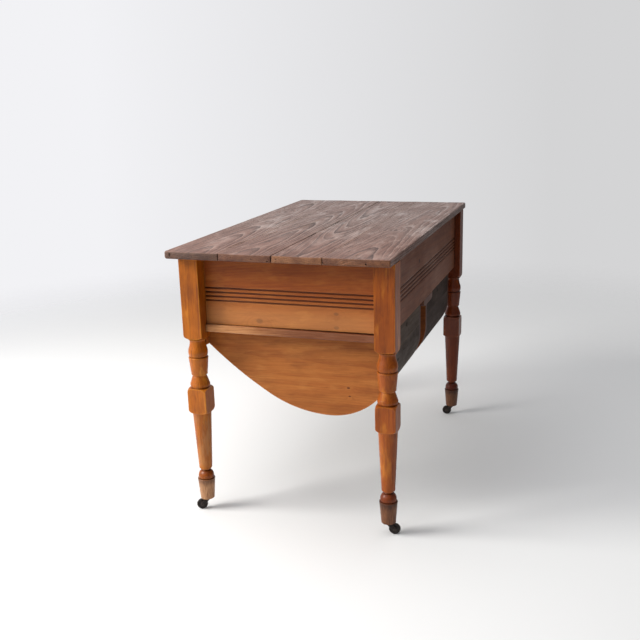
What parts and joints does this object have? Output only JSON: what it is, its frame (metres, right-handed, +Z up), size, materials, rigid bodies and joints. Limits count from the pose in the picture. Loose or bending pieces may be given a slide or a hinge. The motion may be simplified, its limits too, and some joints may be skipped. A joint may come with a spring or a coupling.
{
  "type": "baker's kitchen table",
  "caption": "Old wooden kitchen work table on casters, with a plank top, reeded aprons, turned legs and deep curved-bottomed flour bins that slide out at the front.",
  "frame": {"origin": "on the floor, under the middle of the whole object's box", "axes": "+X along the table towards its right end, +Y towards the back, away from the bin fronts, +Z up"},
  "size_m": [1.032, 0.6057, 0.75],
  "materials": {
    "top_wood": "scrubbed and weathered grey-brown boards, almost no finish left",
    "leg_wood": "old amber shellac, satin, worn on the edges",
    "apron_wood": "old amber shellac, satin, flat grain",
    "bin_side_wood": "old amber shellac, satin",
    "bare_wood": "bare weathered wood, matte, grey and knotty",
    "knob_wood": "turned wood, satin, rubbed by hands",
    "caster_iron": "dark brown-black old iron, matte",
    "nail_iron": "rusted dark iron"
  },
  "bodies": {
    "table": {"back_apron": "apron_wood", "caster_back_left_socket": "caster_iron", "caster_back_right_socket": "caster_iron", "caster_front_left_socket": "caster_iron", "caster_front_right_socket": "caster_iron", "corner_blocks": "bare_wood", "end_apron_left": "apron_wood", "end_apron_right": "apron_wood", "end_bearer_left": "apron_wood", "end_bearer_right": "apron_wood", "end_cleat_left": "bare_wood", "end_cleat_right": "bare_wood", "front_rail": "apron_wood", "front_stile": "apron_wood", "leg_back_left": "leg_wood", "leg_back_right": "leg_wood", "leg_front_left": "leg_wood", "leg_front_right": "leg_wood", "middle_cleat_left": "bare_wood", "middle_cleat_right": "bare_wood", "middle_runner": "bare_wood", "middle_web": "bare_wood", "runner_end_block": "apron_wood", "top_board_1": "top_wood", "top_board_2": "top_wood", "top_board_3": "top_wood", "top_board_4": "top_wood", "top_nails": "nail_iron"},
    "bin_right": {"bin_right_back": "bare_wood", "bin_right_belly": "bare_wood", "bin_right_cleat_inner": "bare_wood", "bin_right_cleat_outer": "bare_wood", "bin_right_front": "apron_wood", "bin_right_knob_inner": "knob_wood", "bin_right_knob_outer": "knob_wood", "bin_right_nails": "nail_iron", "bin_right_side_inner": "bin_side_wood", "bin_right_side_outer": "bin_side_wood"},
    "bin_left": {"bin_left_back": "bare_wood", "bin_left_belly": "bare_wood", "bin_left_cleat_inner": "bare_wood", "bin_left_cleat_outer": "bare_wood", "bin_left_front": "apron_wood", "bin_left_knob_inner": "knob_wood", "bin_left_knob_outer": "knob_wood", "bin_left_nails": "nail_iron", "bin_left_side_inner": "bin_side_wood", "bin_left_side_outer": "bin_side_wood"},
    "caster_front_right": {"caster_front_right_horn": "caster_iron", "caster_front_right_axle": "caster_iron"},
    "wheel_front_right": {"caster_front_right_wheel": "caster_iron"},
    "caster_back_right": {"caster_back_right_horn": "caster_iron", "caster_back_right_axle": "caster_iron"},
    "wheel_back_right": {"caster_back_right_wheel": "caster_iron"},
    "caster_front_left": {"caster_front_left_horn": "caster_iron", "caster_front_left_axle": "caster_iron"},
    "wheel_front_left": {"caster_front_left_wheel": "caster_iron"},
    "caster_back_left": {"caster_back_left_horn": "caster_iron", "caster_back_left_axle": "caster_iron"},
    "wheel_back_left": {"caster_back_left_wheel": "caster_iron"}
  },
  "joints": [
    {"name": "bin_right_slide", "type": "slide", "parent": "table", "child": "bin_right", "axis": [0, -1, 0], "range_m": [0, 0.36]},
    {"name": "bin_left_slide", "type": "slide", "parent": "table", "child": "bin_left", "axis": [0, -1, 0], "range_m": [0, 0.36]},
    {"name": "swivel_front_right", "type": "hinge", "parent": "table", "child": "caster_front_right", "pos_m": [0.447, -0.25533, 0.0345], "axis": [0, 0, 1], "continuous": true},
    {"name": "spin_front_right", "type": "hinge", "parent": "caster_front_right", "child": "wheel_front_right", "pos_m": [0.45451, -0.26945, 0.0155], "axis": [0.8829, 0.4695, 0], "continuous": true},
    {"name": "swivel_back_right", "type": "hinge", "parent": "table", "child": "caster_back_right", "pos_m": [0.447, 0.27167, 0.0345], "axis": [0, 0, 1], "continuous": true},
    {"name": "spin_back_right", "type": "hinge", "parent": "caster_back_right", "child": "wheel_back_right", "pos_m": [0.44313, 0.2872, 0.0155], "axis": [-0.9703, -0.2419, 0], "continuous": true},
    {"name": "swivel_front_left", "type": "hinge", "parent": "table", "child": "caster_front_left", "pos_m": [-0.447, -0.25533, 0.0345], "axis": [0, 0, 1], "continuous": true},
    {"name": "spin_front_left", "type": "hinge", "parent": "caster_front_left", "child": "wheel_front_left", "pos_m": [-0.43196, -0.24985, 0.0155], "axis": [-0.342, 0.9397, 0], "continuous": true},
    {"name": "swivel_back_left", "type": "hinge", "parent": "table", "child": "caster_back_left", "pos_m": [-0.447, 0.27167, 0.0345], "axis": [0, 0, 1], "continuous": true},
    {"name": "spin_back_left", "type": "hinge", "parent": "caster_back_left", "child": "wheel_back_left", "pos_m": [-0.44313, 0.25615, 0.0155], "axis": [0.9703, 0.2419, 0], "continuous": true}
  ]
}
